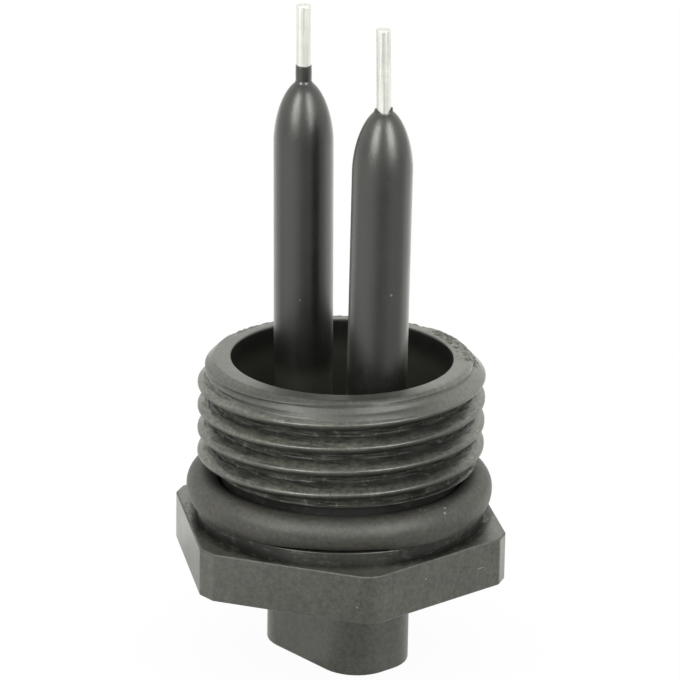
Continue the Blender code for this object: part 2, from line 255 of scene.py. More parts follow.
class Graph:
    """A node tree that is written as expressions."""

    def __init__(self, tree):
        self.tree = tree

    def add(self, kind, settings=None, inputs=None, output=0):
        """Adds a node of a type with its settings, then the values or links of its sockets."""
        node = self.tree.nodes.new(kind)
        for name, value in (settings or {}).items():
            if name == "stops":
                self.set_stops(node.color_ramp, value)
            else:
                setattr(node, name, value)
        for key, value in (inputs or {}).items():
            if isinstance(value, Wire):
                self.tree.links.new(value.socket, node.inputs[key])
            else:
                node.inputs[key].default_value = value
        return Wire(self, node.outputs[output]) if len(node.outputs) else node

    def set_stops(self, ramp, stops):
        """Gives a colour ramp its (position, grey) stops."""
        while len(ramp.elements) < len(stops):
            ramp.elements.new(0.5)
        for element, (position, grey) in zip(ramp.elements, stops):
            element.position = position
            element.color = (grey, grey, grey, 1.0)

    def smoothstep(self, value, low, high):
        """0 below low, 1 above high and a smooth way between them."""
        return self.add(
            "ShaderNodeMapRange",
            {"interpolation_type": "SMOOTHSTEP"},
            {"Value": value, "From Min": low, "From Max": high, "To Min": 0.0, "To Max": 1.0},
        )

    def fade(self, value, low, high):
        """1 below low, 0 above high and a smooth way between them."""
        return 1 - self.smoothstep(value, low, high)

    def noise(self, vector, scale, detail, roughness=0.5):
        """Noise of a number of waves to the metre."""
        return self.add(
            "ShaderNodeTexNoise",
            inputs={"Vector": vector, "Scale": scale, "Detail": detail, "Roughness": roughness},
        )

    def blend(self, factor, first, second):
        """A mix of two colours."""
        node = self.tree.nodes.new("ShaderNodeMix")
        node.data_type = "RGBA"
        for socket, value in zip([node.inputs[0], node.inputs[6], node.inputs[7]], [factor, first, second]):
            if isinstance(value, Wire):
                self.tree.links.new(value.socket, socket)
            else:
                socket.default_value = value if isinstance(value, float) else (*value[:3], 1.0)
        return Wire(self, node.outputs[2])

    def stretch(self, vector, scale):
        """The vector times a scale for each axis."""
        return self.add("ShaderNodeVectorMath", {"operation": "MULTIPLY"}, {0: vector, 1: scale})

    def scale(self, vector, factor):
        """A vector or colour times one factor."""
        return self.add("ShaderNodeVectorMath", {"operation": "SCALE"}, {0: vector, "Scale": factor})

    def dot(self, vector, direction):
        """Dot product of a wire with a fixed direction."""
        return self.add(
            "ShaderNodeVectorMath", {"operation": "DOT_PRODUCT"}, {0: vector, 1: tuple(direction)}, "Value"
        )

    def parts(self, vector):
        """The three components of a vector."""
        node = self.tree.nodes.new("ShaderNodeSeparateXYZ")
        self.tree.links.new(vector.socket, node.inputs[0])
        return [Wire(self, socket) for socket in node.outputs]

    def turn(self, x, y):
        """Angle of a place round the upright axis, in radians."""
        return y.math("ARCTAN2", y, x)

    def helix_place(self, x, y, z, pitch, groove_height):
        """How far a point stands above the middle of the thread's ridge that it is on, along the axis."""
        turns = (z - groove_height) / pitch - self.turn(x, y) / (2 * math.pi)
        return (turns.math("FRACT", turns) - 0.5) * pitch

    def streaks(self, along, inwards, height, stretch, roughness=0.6):
        """Noise drawn out round the axis, at a length along the turn, a second length and a height."""
        place = self.add("ShaderNodeCombineXYZ", inputs={0: along, 1: inwards, 2: height})
        return self.noise(self.stretch(place, stretch), 1.0, 3.0, roughness)

    def ray(self, kind):
        """1 on rays of that kind and 0 on all others."""
        return self.add("ShaderNodeLightPath", output=f"Is {kind} Ray")

    def directly_seen(self):
        """1 on camera, glossy and transmission rays, and 0 on those that carry diffuse light."""
        mirrored = self.ray("Glossy").math("MAXIMUM", self.ray("Glossy"), self.ray("Transmission"))
        return mirrored.math("MAXIMUM", self.ray("Camera"), mirrored)

    def surface_place(self):
        """The place on the object that is shaded."""
        return self.add("ShaderNodeTexCoord", output="Object")

    def bump(self, strength, distance, height):
        """A bump from a height."""
        inputs = {"Strength": strength, "Distance": distance, "Height": height}
        return self.add("ShaderNodeBump", inputs=inputs)


def new_material(name):
    """An empty node material and its graph."""
    material = bpy.data.materials.new(name)
    material.use_nodes = True
    material.node_tree.nodes.clear()
    return material, Graph(material.node_tree)


def finish_material(graph, principled, varying, dirt_and_shade=None):
    """Closes a material with a Principled shader, under matt black for dirt and painted shade if its share is
    given.
    """
    shader = graph.add("ShaderNodeBsdfPrincipled", inputs={**principled, **varying})
    if dirt_and_shade is not None:
        # Matt black over the shader: partly dirt, partly painted shade.
        black = graph.add("ShaderNodeBsdfDiffuse", inputs={"Color": (*DIRT_AND_SHADE_COLOR, 1.0)})
        shader = graph.add("ShaderNodeMixShader", inputs={0: dirt_and_shade, 1: shader, 2: black})
    graph.add("ShaderNodeOutputMaterial", inputs={"Surface": shader})


def link_object(name, data):
    """Puts an object with that mesh, lamp or camera into the scene."""
    obj = bpy.data.objects.new(name, data)
    bpy.context.scene.collection.objects.link(obj)
    return obj


def add_mesh(name, verts, faces):
    """Links a new object with a mesh of those points and faces."""
    mesh = bpy.data.meshes.new(name)
    mesh.from_pydata([tuple(vert) for vert in verts], [], faces)
    return link_object(name, mesh)


def edit_mesh(obj, work):
    """Runs work on the object's bmesh and writes it back."""
    bm = bmesh.new()
    bm.from_mesh(obj.data)
    work(bm)
    bm.to_mesh(obj.data)
    bm.free()
    obj.data.update()


def face_outwards(obj):
    """Merges doubles and turns every face out."""

    def work(bm):
        bmesh.ops.remove_doubles(bm, verts=bm.verts, dist=0.0004 * MM)
        bmesh.ops.recalc_face_normals(bm, faces=bm.faces)

    edit_mesh(obj, work)


def spin(name, profile, columns, centre=(0.0, 0.0)):
    """Turns (radius, height) points round an upright axis. A point on the axis becomes a pole."""
    turns = [2 * math.pi * column / columns for column in range(columns)]
    verts = []
    rings = []
    for radius, height in profile:
        start = len(verts)
        if radius == 0.0:
            verts.append((centre[0], centre[1], height))
            rings.append([start] * columns)
        else:
            verts += [
                (centre[0] + radius * math.cos(turn), centre[1] + radius * math.sin(turn), height)
                for turn in turns
            ]
            rings.append(list(range(start, start + columns)))
    faces = []
    for lower, upper in zip(rings, rings[1:]):
        for column in range(columns):
            after = (column + 1) % columns
            corners = [lower[column], lower[after], upper[after], upper[column]]
            faces.append(list(dict.fromkeys(corners)))
    return add_mesh(name, verts, faces)


def arc(centre, radius, start, end, steps):
    """Points on an arc between two angles in degrees."""
    angles = [math.radians(start + (end - start) * step / steps) for step in range(steps + 1)]
    return [(centre[0] + radius * math.cos(a), centre[1] + radius * math.sin(a)) for a in angles]


def ruled(points, spacing):
    """Fills a line of points with more, about that far apart."""
    filled = [points[0]]
    for (r0, z0), (r1, z1) in zip(points, points[1:]):
        steps = max(1, round(math.hypot(r1 - r0, z1 - z0) / spacing))
        filled += [(r0 + (r1 - r0) * k / steps, z0 + (z1 - z0) * k / steps) for k in range(1, steps + 1)]
    return filled


def rounded(points, passes):
    """Softens the corners of a line of points by averaging neighbours."""
    line = np.array(points)
    for _ in range(passes):
        line[1:-1] = (line[:-2] + 2 * line[1:-1] + line[2:]) / 4
    return [tuple(point) for point in line]


def prism(name, outline, bottom, top, softness=0.0, soft_uprights=False):
    """Extrudes an outline in plan, with its rims, and its upright edges too if asked, rounded."""
    count = len(outline)
    verts = [(x, y, bottom) for x, y in outline] + [(x, y, top) for x, y in outline]
    faces = [list(range(count))[::-1], list(range(count, 2 * count))]
    faces += [[k, (k + 1) % count, count + (k + 1) % count, count + k] for k in range(count)]
    obj = add_mesh(name, verts, faces)
    if softness:

        def work(bm):
            rims = [edge for edge in bm.edges if abs(edge.verts[0].co.z - edge.verts[1].co.z) < softness]
            if soft_uprights:
                rims += [edge for edge in bm.edges if edge not in rims and edge.calc_face_angle() > 0.3]
            bmesh.ops.bevel(bm, geom=rims, offset=softness, segments=3, profile=0.5, affect="EDGES")

        edit_mesh(obj, work)
    face_outwards(obj)
    return obj


def baked(obj):
    """Replaces the object's mesh by its evaluated one and drops the modifiers."""
    bpy.context.view_layer.update()
    graph = bpy.context.evaluated_depsgraph_get()
    evaluated = obj.evaluated_get(graph)
    mesh = bpy.data.meshes.new_from_object(evaluated, preserve_all_data_layers=True, depsgraph=graph)
    obj.modifiers.clear()
    obj.data = mesh
    return obj


def cut_or_join(target, tools):
    """Applies exact Booleans in order and removes their tools."""
    for tool, operation in tools:
        modifier = target.modifiers.new(tool.name, "BOOLEAN")
        modifier.operation = operation
        modifier.object = tool
        modifier.solver = "EXACT"
    baked(target)
    for tool, _ in tools:
        bpy.data.objects.remove(tool, do_unlink=True)


def shade(obj, material, angle=32):
    """Smooth shading with sharp edges above an angle, and one material."""
    obj.data.materials.clear()
    obj.data.materials.append(material)
    obj.data.shade_smooth()
    obj.data.set_sharp_from_angle(angle=math.radians(angle))
    modifier = obj.modifiers.new("weighted", "WEIGHTED_NORMAL")
    modifier.keep_sharp = True
    modifier.weight = 50
    baked(obj)


def across_view(angle=0.0):
    """Unit vector in plan, from the camera's left to its right, turned by an angle."""
    turn = VIEW_ANGLE + math.pi / 2 + angle
    return Vector((math.cos(turn), math.sin(turn), 0.0))


def dome_height(radius):
    """Height of the probe's dome at a radius."""
    share = max(0.0, 1 - (radius / PROBE_RADIUS) ** DOME_POWER)
    return DOME_BOTTOM + DOME_HEIGHT * share ** (1 / DOME_POWER)


def lean(obj, side):
    """Shifts and leans a probe or an electrode sideways, as the photographed ones stand."""
    across = across_view()
    tip = dome_height(PROBE_TIP_RADIUS)
    for vert in obj.data.vertices:
        push = SHIFTS[side] + LEANS[side] * max(0.0, vert.co.z - BORE_FLOOR)
        push += BENDS[side] * max(0.0, vert.co.z - tip)
        vert.co.x += across.x * push
        vert.co.y += across.y * push
    return obj


def probe_centre(side):
    """Where a probe stands in plan."""
    return (SIDES[side] * PROBE_OFFSET, 0.0)


def hexagon_outline():
    """Six flats with cut corners. The camera's one is worn round, and the one left of it is wider."""
    sharp = HALF_FLATS / math.cos(math.pi / 6)
    points = []
    for corner in range(6):
        angle = math.radians(30 + 60 * corner)
        if corner == 5:
            rounding = 2.3 * MM
            reach = sharp - rounding / math.cos(math.pi / 6)
            centre = (reach * math.cos(angle), reach * math.sin(angle))
            points += arc(centre, rounding, 300, 360, 10)
            continue
        cut = CORNER_CUT - (0.05 * MM if corner == 4 else 0.0)
        half = (sharp - cut) * math.tan(math.pi / 3)
        for side in (-1, 1):
            x = cut * math.cos(angle) - side * half * math.sin(angle)
            y = cut * math.sin(angle) + side * half * math.cos(angle)
            points.append((x, y))
    return points


def rounded_rectangle(length, width, radius, steps=10):
    """An outline centred on the axis, long along X."""
    points = []
    for quarter, (side_x, side_y) in enumerate([(1, 1), (-1, 1), (-1, -1), (1, -1)]):
        centre = (side_x * (length / 2 - radius), side_y * (width / 2 - radius))
        points += arc(centre, radius, 90 * quarter, 90 * quarter + 90, steps)
    return points


def shroud_prism(name, inset, bottom, top, softness):
    """A prism on the shroud's outline, drawn in by an inset."""
    outline = rounded_rectangle(SHROUD_LENGTH - 2 * inset, SHROUD_WIDTH - 2 * inset, SHROUD_CORNER - inset)
    return prism(name, outline, bottom, top, softness)


def latch_nose():
    """The wedge on the shroud's long side that the plug's latch snaps over."""
    wall = SHROUD_WIDTH / 2
    outline = [(-0.5, 2.2), (0.0, 2.2), (0.7, 4.0), (0.7, 4.4), (-0.5, 4.4)]
    points = [(wall + y * MM, z * MM) for y, z in outline]
    half = 1.6 * MM
    verts = [(-half, y, z) for y, z in points] + [(half, y, z) for y, z in points]
    faces = [[0, 1, 2, 3, 4], [9, 8, 7, 6, 5]]
    faces += [[k, 5 + k, 5 + (k + 1) % 5, (k + 1) % 5] for k in range(5)]
    obj = add_mesh("latch_nose", verts, faces)
    face_outwards(obj)
    soft = 0.1 * MM
    edit_mesh(obj, lambda bm: bmesh.ops.bevel(bm, geom=bm.edges[:], offset=soft, segments=2, affect="EDGES"))
    return obj


def bore_radius(height):
    """Radius of the drafted bore at a height."""
    depth = END_FACE - BORE_FLOOR
    return BORE_FOOT_RADIUS + (BORE_RADIUS - BORE_FOOT_RADIUS) * (height - BORE_FLOOR) / depth


def seat_and_neck():
    """Ring seat, the neck up to the seam and the bore below it, capped at the seam."""
    profile = [(0.0, HEX_TOP - 2.2 * REACH), (SEAT_RADIUS, HEX_TOP - 2.2 * REACH)]
    profile += [(SEAT_RADIUS, HEX_TOP - 0.2 * MM), (SEAT_RADIUS, HEX_TOP + 0.3 * MM)]
    profile += arc((SEAT_RADIUS - 0.15 * MM, SEAT_TOP - 0.15 * MM), 0.15 * MM, 0, 90, 4)
    profile += arc((NECK_RADIUS + 0.2 * MM, SEAT_TOP + 0.2 * MM), 0.2 * MM, 270, 180, 4)
    profile += [(NECK_RADIUS, SEAM_HEIGHT), (bore_radius(SEAM_HEIGHT), SEAM_HEIGHT)]
    profile += [(bore_radius(BORE_FLOOR + 0.3 * MM), BORE_FLOOR + 0.3 * MM)]
    profile += arc((BORE_FOOT_RADIUS - 0.3 * MM, BORE_FLOOR + 0.3 * MM), 0.3 * MM, 0, -90, 4)[1:]
    profile += [(0.0, BORE_FLOOR)]
    obj = spin("seat_and_neck", profile, SKIRT_COLUMNS)
    face_outwards(obj)
    return obj


def probe_profile(side):
    """Foot fillet, shank, dome and what stands on its tip: a sleeve, or on the right a torn collar."""
    foot = PROBE_RADIUS + PROBE_FILLET
    profile = [(0.0, BORE_FLOOR - REACH), (foot, BORE_FLOOR - REACH)]
    profile += arc((foot, BORE_FLOOR + PROBE_FILLET - FOOT_SINK), PROBE_FILLET, 270, 180, 6)
    profile += [(PROBE_RADIUS, height * MM) for height in range(14, 43, 2)]
    shoulder = PROBE_TIP_RADIUS + 0.15 * MM
    first = math.asin(shoulder / PROBE_RADIUS)
    steps = 28
    for step in range(steps + 1):
        radius = PROBE_RADIUS * math.sin(math.pi / 2 + (first - math.pi / 2) * step / steps)
        profile.append((radius, dome_height(radius) + DOME_LIFTS[side]))
    base = profile[-1][1]
    if side == "left":
        outline = [(0.80, 0.06), (0.74, 0.12), (0.70, 0.20), (0.68, 0.28), (0.665, 0.30)]
        outline += [(0.65, 0.32), (0.65, 0.35), (0.665, 0.38), (0.67, 0.45), (0.675, 0.8)]
        outline += [(0.67, 1.2), (0.665, 1.5), (0.66, 1.58), (0.645, 1.6)]
    else:
        outline = [(0.84, 0.05), (0.81, 0.10), (0.80, 0.16), (0.79, 0.22)]
        outline += [(0.75, 0.27), (0.70, 0.28), (0.66, 0.28)]
    profile += [(radius * MM, base + height * MM) for radius, height in outline]
    return [*profile, (0.0, profile[-1][1])]


def break_collar(obj):
    """Tears the right probe's collar down to two stubs, low at the left and thin and high at the right."""
    base = dome_height(PROBE_TIP_RADIUS + 0.15 * MM) + DOME_LIFTS["right"]
    centre = Vector((*probe_centre("right"), 0.0))
    for vert in obj.data.vertices:
        rise = vert.co.z - base
        offset = Vector((vert.co.x, vert.co.y, 0.0)) - centre
        if rise <= 0.01 * MM or offset.length < 0.1 * MM:
            continue
        across = offset.normalized().dot(across_view())
        toward = offset.normalized().dot(across_view(-math.pi / 2))
        low_stub = max(0.0, -across - 0.25)
        high_stub = max(0.0, across - 0.62) ** 0.5
        ragged = 0.22 * noise.noise(offset * 7000)
        height = max(0.08, 0.25 + 1.1 * low_stub + 2.4 * high_stub - 0.2 * max(0.0, toward) + ragged)
        vert.co.z = base + rise * height
        if across > 0.5:
            vert.co.x -= offset.x * 0.10
            vert.co.y -= offset.y * 0.10


def probe(side):
    """One insulating finger."""
    obj = spin(f"probe_{side}", probe_profile(side), PROBE_COLUMNS, probe_centre(side))
    if side == "right":
        break_collar(obj)
        edit_mesh(obj, lambda bm: bmesh.ops.triangulate(bm, faces=bm.faces))
    face_outwards(obj)
    return lean(obj, side)


def electrode_passage(side):
    """The hole that the electrode fills, turned so that its edges meet none of the probe's."""
    radius = ELECTRODE_RADIUS + CLEARANCE
    top = 54.0 * MM
    tip = dome_height(PROBE_TIP_RADIUS)
    profile = [(0.0, TAB_FOOT_TOP)]
    profile += [(radius, height) for height in (TAB_FOOT_TOP, BORE_FLOOR, tip, top)]
    profile += [(0.0, top)]
    obj = spin(f"passage_{side}", profile, 40)
    turned = Matrix.Rotation(PASSAGE_TURN, 4, "Z")
    obj.data.transform(Matrix.Translation((*probe_centre(side), 0.0)) @ turned)
    face_outwards(obj)
    return lean(obj, side)


def tab_outline(clearance):
    """The cranked strip seen along Y: a blade down into the socket and a foot out under the electrode."""
    inner = TAB_OFFSET - TAB_THICKNESS / 2 - clearance
    outer = TAB_OFFSET + TAB_THICKNESS / 2 + clearance
    foot_end = PROBE_OFFSET + ELECTRODE_RADIUS + 0.8 * MM + clearance
    top = TAB_FOOT_TOP + clearance
    bend = 0.9 * MM + clearance
    outline = [
        (inner + 0.2 * MM, 1.2 * MM - clearance),
        (outer - 0.2 * MM, 1.2 * MM - clearance),
        (outer, 1.9 * MM),
        (outer, TAB_FOOT_BOTTOM - clearance),
        (foot_end, TAB_FOOT_BOTTOM - clearance),
        (foot_end, top),
    ]
    outline += arc((inner + bend, top - bend), bend, 90, 180, 6)
    outline.append((inner, 1.9 * MM))
    return outline


def tab(name, side, clearance=0.0):
    """The strip, or the pocket that it fills."""
    half = TAB_WIDTH / 2 + clearance
    points = [(SIDES[side] * x, z) for x, z in tab_outline(clearance)]
    count = len(points)
    verts = [(x, -half, z) for x, z in points] + [(x, half, z) for x, z in points]
    faces = [list(range(count)), list(range(count, 2 * count))[::-1]]
    faces += [[k, count + k, count + (k + 1) % count, (k + 1) % count] for k in range(count)]
    obj = add_mesh(name, verts, faces)
    face_outwards(obj)
    return obj


def moulding_base():
    """Everything of the moulding but the threaded skirt: hexagon, seat, shroud, socket and probes."""
    body = prism("moulding", hexagon_outline(), HEX_BOTTOM, HEX_TOP, 0.14 * MM, soft_uprights=True)
    hole_radius = 10.0 * MM
    hole = [(0.0, HEX_TOP - REACH), (hole_radius, HEX_TOP - REACH)]
    hole += [(hole_radius, HEX_TOP + REACH), (0.0, HEX_TOP + REACH)]
    opening = spin("opening", hole, 64)
    face_outwards(opening)
    tools = [
        (opening, "DIFFERENCE"),
        (seat_and_neck(), "UNION"),
        (shroud_prism("shroud", 0.0, 0.0, HEX_BOTTOM + REACH, 0.2 * MM), "UNION"),
        (latch_nose(), "UNION"),
        (shroud_prism("socket", SHROUD_WALL, -REACH, SOCKET_TOP, 0.0), "DIFFERENCE"),
    ]
    for side in SIDES:
        tools.append((probe(side), "UNION"))
        tools.append((electrode_passage(side), "DIFFERENCE"))
        tools.append((tab(f"pocket_{side}", side, CLEARANCE), "DIFFERENCE"))
    cut_or_join(body, tools)
    return body


def open_at_seam(bm):
    """Removes the cap between the neck and the bore, where the skirt is stitched on."""
    cap = [
        face
        for face in bm.faces
        if face.normal.z > 0.9
        and all(abs(vert.co.z - SEAM_HEIGHT) < 0.001 * MM for vert in face.verts)
        and face.calc_center_median().xy.length > BORE_FOOT_RADIUS - 0.2 * MM
    ]
    bmesh.ops.delete(bm, geom=cap, context="FACES")


def skirt_rows(thread):
    """The plain skirt's profile from the seam, up the outside, over the end face and down the bore."""
    run_out = 0.65 * MM
    lead_in = thread.crest_radius - LEAD_IN_RADIUS
    neck = ruled([(NECK_RADIUS, SEAM_HEIGHT), (NECK_RADIUS, THREAD_BOTTOM - 0.3 * MM)], 0.6 * MM)
    outside = ruled(
        [
            (NECK_RADIUS, THREAD_BOTTOM - 0.3 * MM),
            (NECK_RADIUS, THREAD_BOTTOM),
            (thread.root_radius, THREAD_BOTTOM),
            (thread.crest_radius, THREAD_BOTTOM + run_out),
            (thread.crest_radius, END_FACE - lead_in),
            (LEAD_IN_RADIUS, END_FACE),
        ],
        THREAD_ROW,
    )
    face = ruled([(LEAD_IN_RADIUS, END_FACE), (BORE_RADIUS, END_FACE)], 0.1 * MM)
    lip = ruled([(BORE_RADIUS, END_FACE), (bore_radius(END_FACE - 0.3 * MM), END_FACE - 0.3 * MM)], 0.1 * MM)
    bore = ruled([lip[-1], (bore_radius(SEAM_HEIGHT), SEAM_HEIGHT)], 0.6 * MM)
    return rounded(neck + outside[1:] + face[1:] + lip[1:] + bore[1:], 2)


def thread_tree(material):
    """Geometry Nodes that cut a screw thread's groove into an upright skirt."""
    tree = bpy.data.node_groups.new("cut_thread", "GeometryNodeTree")
    graph = Graph(tree)
    tree.interface.new_socket("Geometry", in_out="INPUT", socket_type="NodeSocketGeometry")
    for name in THREAD_INPUTS:
        tree.interface.new_socket(name, in_out="INPUT", socket_type="NodeSocketFloat")
    tree.interface.new_socket("Material", in_out="INPUT", socket_type="NodeSocketMaterial")
    tree.interface.new_socket("Geometry", in_out="OUTPUT", socket_type="NodeSocketGeometry")
    source = tree.nodes.new("NodeGroupInput")
    value = {socket.name: Wire(graph, socket) for socket in source.outputs if socket.name}
    x, y, z = graph.parts(graph.add("GeometryNodeInputPosition"))
    radius = (x * x + y * y) ** 0.5
    height = (z - value["Groove height"]) / value["Pitch"] - graph.turn(x, y) / (2 * math.pi)
    from_middle = abs(height - height.math("ROUND", height)) * value["Pitch"]
    flank = (value["Pitch"] - value["Crest flat"] - value["Root flat"]) / 2
    depth = value["Crest radius"] - value["Root radius"]
    slope = value["Root radius"] + (from_middle - value["Root flat"] / 2) / flank * depth
    groove = slope.math("SMOOTH_MAX", slope, value["Root radius"], value["Softness"])
    cut = radius.math("SMOOTH_MIN", radius, groove, value["Softness"])
    faint = 1 - 0.60 * graph.smoothstep(z, END_FACE - 1.7 * MM, END_FACE - 1.0 * MM)
    scale = 1 - faint * (1 - cut / radius)
    moved = graph.add("ShaderNodeCombineXYZ", inputs={0: x * scale, 1: y * scale, 2: z})
    outside = graph.add(
        "FunctionNodeCompare",
        {"data_type": "FLOAT", "operation": "GREATER_THAN"},
        {0: radius, 1: LEAD_IN_RADIUS + 0.05 * MM},
    )
    placed = graph.add(
        "GeometryNodeSetPosition",
        inputs={"Geometry": value["Geometry"], "Selection": outside, "Position": moved},
    )
    real = graph.add("GeometryNodeRealizeInstances", inputs={"Geometry": placed})
    painted = graph.add("GeometryNodeSetMaterial", inputs={"Geometry": real, "Material": value["Material"]})
    sink = tree.nodes.new("NodeGroupOutput")
    tree.links.new(painted.socket, sink.inputs["Geometry"])
    return tree


def set_inputs(modifier, values):
    """Sets a Geometry Nodes modifier's inputs by their identifiers."""
    for item in modifier.node_group.interface.items_tree:
        if item.in_out == "INPUT" and item.name in values:
            modifier[item.identifier] = values[item.name]


def threaded_skirt(thread, material):
    """The open skirt above the seam, with its thread cut."""
    skirt = spin("skirt", skirt_rows(thread), SKIRT_COLUMNS)
    modifier = skirt.modifiers.new("thread", "NODES")
    modifier.node_group = thread_tree(material)
    sizes = {name: getattr(thread, name.lower().replace(" ", "_")) for name in THREAD_INPUTS}
    set_inputs(modifier, {**sizes, "Material": material})
    return baked(skirt)


def bump_between(value, low, high, edge):
    """1 between two limits, falling smoothly to 0 outside them."""
    rise = np.clip((value - low) / edge + 0.5, 0, 1)
    fall = np.clip((high - value) / edge + 0.5, 0, 1)
    return rise * rise * (3 - 2 * rise) * fall * fall * (3 - 2 * fall)


def wear_rim(obj):
    """Ragged flash, pits and a worn back edge round the end face, as the photograph shows."""
    mesh = obj.data
    points = np.empty(len(mesh.vertices) * 3)
    mesh.vertices.foreach_get("co", points)
    points = points.reshape(-1, 3)
    radius = np.hypot(points[:, 0], points[:, 1])
    angle = np.degrees(np.arctan2(points[:, 1], points[:, 0])) % 360
    near = np.nonzero((points[:, 2] > END_FACE - 1.6 * MM) & (radius > BORE_RADIUS - 0.3 * MM))[0]
    across = across_view()
    for index in near:
        r, a, z = radius[index], angle[index], points[index, 2]
        rough = noise.noise(Vector(points[index]) * 2600)
        fine = noise.noise(Vector(points[index]) * 5200 + Vector((7, 3, 1)))
        flash = bump_between(a, 47, 89.5, 3) * bump_between(r, 10.15 * MM, 11.3 * MM, 0.35 * MM)
        pitted = bump_between(a, 46, 90, 5) * bump_between(r, 9.5 * MM, 11.3 * MM, 0.3 * MM)
        wear_and_highlight = bump_between(a, 96, 200, 8) * bump_between(r, 10.0 * MM, 11.6 * MM, 0.5 * MM)
        raised = 0.09 * MM * flash * (0.7 + 0.8 * rough)
        pits = 0.16 * MM * pitted * max(0.0, fine - 0.12) / 0.4
        sunk = 0.16 * MM * wear_and_highlight * (0.8 + 0.7 * rough)
        points[index, 2] = z + raised - pits - sunk
        side = (points[index, 0] * across.x + points[index, 1] * across.y) / r
        dent = 0.07 * MM * max(0.0, 1 - abs(z - lead_in_line(side)) / (0.16 * MM)) * (r > LEAD_IN_RADIUS)
        points[index, :2] *= 1 - dent / r
    mesh.vertices.foreach_set("co", points.ravel())
    mesh.update()


def stitch(base, skirt):
    """Joins the skirt to the rest along the seam."""

    def work(bm):
        open_at_seam(bm)
        bm.from_mesh(skirt.data)
        bmesh.ops.remove_doubles(bm, verts=bm.verts, dist=0.0008 * MM)
        bmesh.ops.recalc_face_normals(bm, faces=bm.faces)

    edit_mesh(base, work)
    bpy.data.objects.remove(skirt, do_unlink=True)


def sag_ring(ring, middle, section):
    """Lets the ring's overhanging lower edge hang over its seat on both sides, as the photograph shows."""
    for vert in ring.data.vertices:
        side = across_view().dot(vert.co) / vert.co.xy.length
        overhang = min(1.0, max(0.0, (vert.co.xy.length - SEAT_RADIUS + 0.3 * MM) / (0.5 * MM)))
        below = min(1.0, max(0.0, (middle - vert.co.z) / section + 0.1))
        reach = 0.50 * MM if side > 0 else 0.30 * MM
        sideways = min(1.0, max(0.0, (abs(side) - 0.15) / 0.4))
        vert.co.z -= reach * sideways * sideways * (3 - 2 * sideways) * overhang * below


def specks(graph, place, density, size, share):
    """Scattered dust grains: 1 on a grain and 0 elsewhere."""
    spread = {"Vector": place, "Scale": density, "Randomness": 1.0}
    cells = graph.add("ShaderNodeTexVoronoi", {"feature": "F1"}, spread, "Distance")
    rare = graph.noise(place, 300, 1.0)
    return graph.fade(cells, size, 2 * size) * graph.smoothstep(rare, share, share + 0.04)


def lead_in_line(side):
    """Height of the shallow line round the chamfer, from the share of the radius to the camera's right."""
    return END_FACE - (0.37 + 0.25 * (abs(side) - side)) * MM


def marks(graph, place, spots):
    """1 on each listed mark and 0 elsewhere. A mark is a place in mm, its reach in mm and its stretch."""
    found = 0.0
    for x, y, z, reach, stretch in spots:
        middle = (x * MM, y * MM, z * MM)
        offset = graph.add("ShaderNodeVectorMath", {"operation": "SUBTRACT"}, {0: place, 1: middle})
        shaped = graph.stretch(offset, stretch)
        away = graph.add("ShaderNodeVectorMath", {"operation": "LENGTH"}, {0: shaped}, "Value")
        found = graph.fade(away, 0.6 * reach * MM, 1.2 * reach * MM) + found
    return found


def thread_tint_and_shade(graph, thread, place, z):
    """Tint of the thread: painted highlight on the crests, painted shade in the dusty grooves, and its matt
    black share.
    """
    x, y, _ = graph.parts(place)
    rise = graph.helix_place(x, y, z, thread.pitch, thread.groove_height)
    along = graph.turn(x, y) * (11.0 * MM)
    streaks = graph.streaks(along, 0.0, z, (330, 1, 2600))
    fine_streaks = graph.streaks(along, 0.0, z, (500, 1, 9000), 0.65)
    wander = rise + (streaks - 0.5) * (1.3 * MM)
    # Painted highlight: a band on each crest's upper side is lightened, made ragged by the streaks, which
    # stand for wear.
    wear_and_highlight = graph.smoothstep(rise, -0.24 * MM, 0.14 * MM) * graph.fade(wander, 0.32 * MM, 0.60 * MM)
    dust = graph.noise(place, 1700, 4.0, 0.7)
    # Painted shade: off that band the flanks and grooves are tinted near black, lighter where dusty or
    # streaked.
    black = 0.10 + graph.smoothstep(dust, 0.52, 0.74) + graph.fade(fine_streaks, 0.40, 0.60) * 0.9
    light = 1.36 + graph.smoothstep(rise, 0.0, 0.24 * MM)
    light = light * (0.94 + (streaks - 0.5) * 2.0 + (fine_streaks - 0.5) * 1.8 + (dust - 0.5) * 1.4)
    # Painted shade: matt black in the groove bottoms and under each crest's lower edge, and dirt along the
    # streaks.
    groove = graph.smoothstep(abs(rise), 0.58 * MM, 0.78 * MM)
    shaded_lower_edge = graph.smoothstep(rise, -0.36 * MM, -0.22 * MM) * graph.fade(rise, -0.06 * MM, 0.10 * MM)
    dirt_and_shade_share = groove * graph.fade(dust, 0.52, 0.74) * 0.45 + shaded_lower_edge * 0.2
    dirt_and_shade_share = dirt_and_shade_share + (1 - wear_and_highlight) * graph.smoothstep(fine_streaks, 0.44, 0.60) * 0.34
    return black + wear_and_highlight * (light - black), dirt_and_shade_share


def seat_tint(graph, place, radius, z):
    """Tint and share of grime and painted shade on the seat and the hexagon's top, thinner towards the
    camera.
    """
    front = graph.smoothstep(graph.dot(place, across_view(-math.pi / 2)) / radius, 0.90, 0.99)
    x, y, _ = graph.parts(place)
    streaks = graph.streaks(graph.turn(x, y) * (12.0 * MM), radius, z, (380, 2600, 3400))
    patches = graph.noise(place, 1300, 4.0, 0.7) * 0.55 + streaks * 0.45
    near = graph.fade(radius + (patches - 0.5) * (2.6 * MM), 12.0 * MM, 13.2 * MM)
    near = near * graph.smoothstep(z, HEX_TOP - 0.10 * MM, HEX_TOP - 0.03 * MM)
    # Partly dirt and partly painted shade from the ring, strongest close to the seat.
    grime_and_shade = near * (1 - front * 0.50 - graph.smoothstep(patches, 0.50, 0.66) * 0.7)
    return 1 - grime_and_shade * 0.8, grime_and_shade


